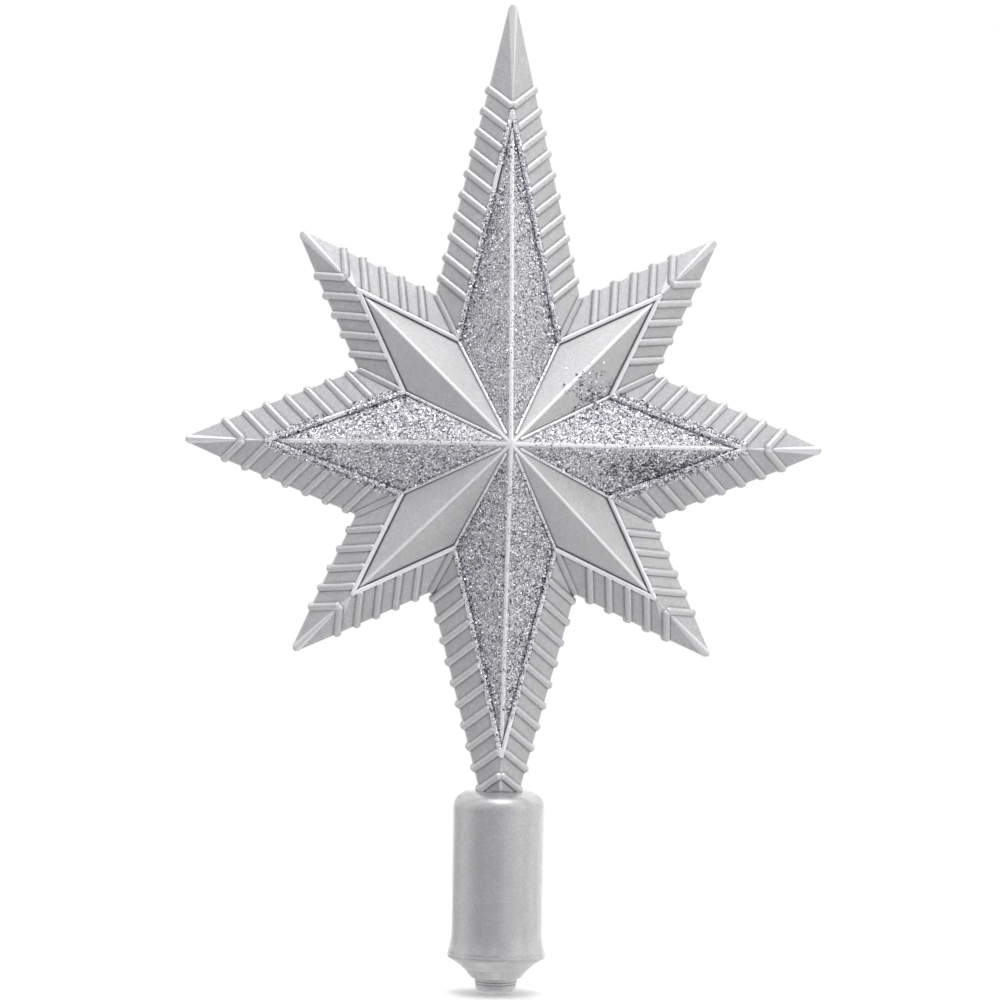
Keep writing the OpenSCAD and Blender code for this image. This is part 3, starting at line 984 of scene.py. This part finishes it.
def floor_paint():
    """Pale floor that keeps the star's shadow and turns white away from it."""
    m = Shader("floor")
    m.set(Base_Color=rgba(bpy.context.scene.finishes.floor), Roughness=0.9)
    place = m.node("ShaderNodeTexCoord").outputs["Object"]
    away = m.tree.nodes.new("ShaderNodeVectorMath")
    away.operation = "LENGTH"
    m.tree.links.new(place, away.inputs[0])
    white = m.node("ShaderNodeEmission", Color=(1, 1, 1, 1), Strength=1.0)
    seen = m.node("ShaderNodeLightPath").outputs["Is Camera Ray"]
    share = m.tree.nodes.new("ShaderNodeMath")
    share.operation = "MULTIPLY"
    m.fill(share.inputs, {0: m.ranged(away.outputs["Value"], *FLOOR_SHADE, 0, 1), 1: seen})
    both = m.tree.nodes.new("ShaderNodeMixShader")
    m.fill(both.inputs, {0: share.outputs[0], 1: m.surface.outputs[0], 2: white.outputs[0]})
    m.tree.links.new(both.outputs[0], m.tree.nodes["Material Output"].inputs["Surface"])
    return m.material


def surroundings():
    """Soft light all round, brighter above and to the right, on a white background."""
    world = bpy.data.worlds.new("studio")
    world.use_nodes = True
    tree = world.node_tree
    background = tree.nodes["Background"]
    way = tree.nodes.new("ShaderNodeTexCoord").outputs["Generated"]

    def along(direction):
        """Share of the looked-at direction along another."""
        node = tree.nodes.new("ShaderNodeVectorMath")
        node.operation = "DOT_PRODUCT"
        node.inputs[1].default_value = direction
        tree.links.new(way, node.inputs[0])
        return node.outputs["Value"]

    def maths(operation, *values):
        node = tree.nodes.new("ShaderNodeMath")
        node.operation = operation
        for socket, value in zip(node.inputs, values):
            if isinstance(value, bpy.types.NodeSocket):
                tree.links.new(value, socket)
            else:
                socket.default_value = value
        return node.outputs[0]

    level = maths("ADD", along(LIGHT_SLOPE), LIGHT_LEVEL)
    poles = maths("POWER", maths("ABSOLUTE", along((0, 0, 1))), 2)
    level = maths("MULTIPLY_ADD", poles, LIGHT_POLES, level)
    dim = maths("POWER", maths("MAXIMUM", along(DIM_WAY), 0), 2)
    level = maths("MULTIPLY_ADD", dim, -LIGHT_DIM, level)
    room = tree.nodes.new("ShaderNodeTexNoise")
    room.inputs["Scale"].default_value = 9
    room.inputs["Detail"].default_value = 1
    tree.links.new(way, room.inputs["Vector"])
    spots = tree.nodes.new("ShaderNodeMapRange")
    for key, value in (("From Min", 0.38), ("From Max", 0.62), ("To Min", 1 - LIGHT_SPOTS),
                       ("To Max", 1 + LIGHT_SPOTS)):
        spots.inputs[key].default_value = value
    tree.links.new(room.outputs["Fac"], spots.inputs["Value"])
    level = maths("MULTIPLY", level, spots.outputs["Result"])
    seen = tree.nodes.new("ShaderNodeLightPath").outputs["Is Camera Ray"]
    tint = tree.nodes.new("ShaderNodeMix")
    tint.data_type = "RGBA"
    tint.inputs[6].default_value = (1, 1, 1, 1)
    tint.inputs[7].default_value = DIM_TINT
    tree.links.new(maths("MULTIPLY", dim, maths("SUBTRACT", 1, seen)), tint.inputs[0])
    tree.links.new(tint.outputs[2], background.inputs["Color"])
    strength = tree.nodes.new("ShaderNodeMix")
    strength.inputs["B"].default_value = 1.0
    tree.links.new(seen, strength.inputs["Factor"])
    tree.links.new(level, strength.inputs["A"])
    tree.links.new(strength.outputs["Result"], background.inputs["Strength"])
    return world


class STAR_OT_stage(bpy.types.Operator):
    """Sets the pale floor, the soft studio light and the camera"""

    bl_idname = "star.stage"
    bl_label = "Stage"

    def execute(self, context):
        stage = context.scene.stage_settings
        middle = Vector((-1.2 * MM, 0, 0.143))
        deselect()
        bpy.ops.mesh.primitive_plane_add(size=8)
        floor = settled("floor")
        floor.data.materials.append(floor_paint())
        floor.visible_diffuse = floor.visible_glossy = False
        floor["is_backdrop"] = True

        lamp("key", (0.15, -0.7, 1.75), middle, (1.1, 0.6), 6)
        lamp("top", (0, 0.5, 1.6), middle, (1.2, 0.5), 4)
        context.scene.world = surroundings()
        context.scene.view_settings.view_transform = "Standard"

        turn, lean = stage.bearing, stage.lean
        right = Vector((math.cos(turn), math.sin(turn), 0))
        up = Vector((0, 0, 1))
        camera_right = right * math.cos(lean) + up * math.sin(lean)
        camera_up = up * math.cos(lean) - right * math.sin(lean)
        data = bpy.data.cameras.new("camera")
        data.lens = stage.lens
        data.clip_start = 0.01
        camera = bpy.data.objects.new("camera", data)
        location = middle + stage.distance * Vector((math.sin(turn), -math.cos(turn), 0))
        axes = Matrix((camera_right, camera_up, camera_right.cross(camera_up))).transposed()
        camera.matrix_world = Matrix.Translation(location) @ axes.to_4x4()
        context.collection.objects.link(camera)
        context.scene.camera = camera
        return {"FINISHED"}


# ---- panel and registration ----------------------------------------------------------------

PIECES = (STAR_OT_mouldings, STAR_OT_glitter, STAR_OT_socket, STAR_OT_stage)
SETTINGS = (("star_sizes", StarSizes), ("glitter_sizes", GlitterSizes), ("socket_sizes", SocketSizes),
            ("finishes", Finishes), ("stage_settings", StageSettings))


class STAR_PT_panel(bpy.types.Panel):
    """Lists the steps that build the star"""

    bl_label = "Tree-topper star"
    bl_idname = "STAR_PT_panel"
    bl_space_type = "VIEW_3D"
    bl_region_type = "UI"
    bl_category = "Star"

    def draw(self, context):
        for operator in PIECES:
            self.layout.operator(operator.bl_idname)
        for name, group in SETTINGS:
            box = self.layout.box()
            box.label(text=group.__name__)
            for key in group.__annotations__:
                box.prop(getattr(context.scene, name), key)


def register():
    for name, group in SETTINGS:
        bpy.utils.register_class(group)
        setattr(bpy.types.Scene, name, PointerProperty(type=group))
    for kind in (*PIECES, STAR_PT_panel):
        bpy.utils.register_class(kind)


def unregister():
    for kind in (STAR_PT_panel, *reversed(PIECES)):
        bpy.utils.unregister_class(kind)
    for name, group in reversed(SETTINGS):
        delattr(bpy.types.Scene, name)
        bpy.utils.unregister_class(group)


def main():
    register()
    bpy.ops.star.mouldings()
    bpy.ops.star.glitter()
    bpy.ops.star.socket()
    bpy.ops.star.stage()
    boxes = {"cad": CAD_BOX, "visual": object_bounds()}
    {name: [list(corner) for corner in box] for name, box in boxes.items()}


if __name__ == "__main__":
    main()
